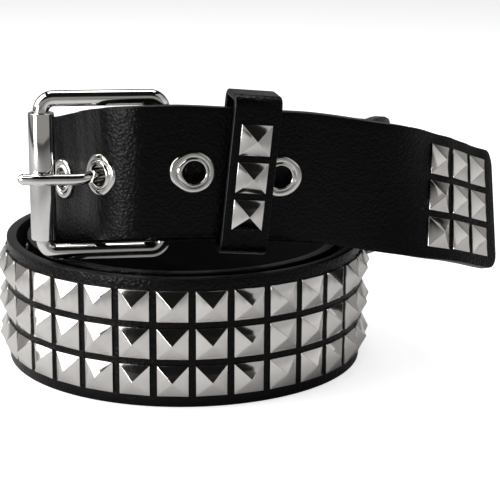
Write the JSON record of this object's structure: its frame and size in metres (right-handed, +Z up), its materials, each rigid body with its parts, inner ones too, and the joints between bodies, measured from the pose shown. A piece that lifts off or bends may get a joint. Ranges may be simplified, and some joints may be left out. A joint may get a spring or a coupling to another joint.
{
  "type": "studded belt",
  "caption": "Black leather belt with pyramid studs and eyelets, buckled through a roller buckle and keeper and rolled up on the edge of its strap.",
  "frame": {"origin": "middle of the underside of the box round the whole belt, on the surface that it stands on", "axes": "+Z up along the coil's upright axis, front of the buckle towards -Y, free tip of the strap towards +X"},
  "size_m": [0.1582, 0.126, 0.0886],
  "materials": {
    "strap_leather": "glossy fine-grained black, painted edges",
    "keeper_leather": "glossy fine-grained black",
    "stud_chrome": "mirror plated, soft pressed edges",
    "buckle_metal": "polished nickel-tone plating"
  },
  "bodies": {
    "root": {"strap": "strap_leather", "eyelet_1": "stud_chrome", "eyelet_2": "stud_chrome", "eyelet_3": "stud_chrome", "eyelet_4": "stud_chrome", "eyelet_5": "stud_chrome", "tip_stud_1": "stud_chrome", "tip_stud_2": "stud_chrome", "tip_stud_3": "stud_chrome", "tip_stud_4": "stud_chrome", "tip_stud_5": "stud_chrome", "tip_stud_6": "stud_chrome", "tip_stud_7": "stud_chrome", "tip_stud_8": "stud_chrome", "tip_stud_9": "stud_chrome", "fold_rivet_1": "stud_chrome", "fold_rivet_2": "stud_chrome", "buckle_frame": "buckle_metal", "buckle_roller": "buckle_metal", "buckle_prong": "buckle_metal", "keeper_loop": "keeper_leather", "keeper_stud_1": "stud_chrome", "keeper_stud_2": "stud_chrome", "keeper_stud_3": "stud_chrome"}
  },
  "joints": []
}
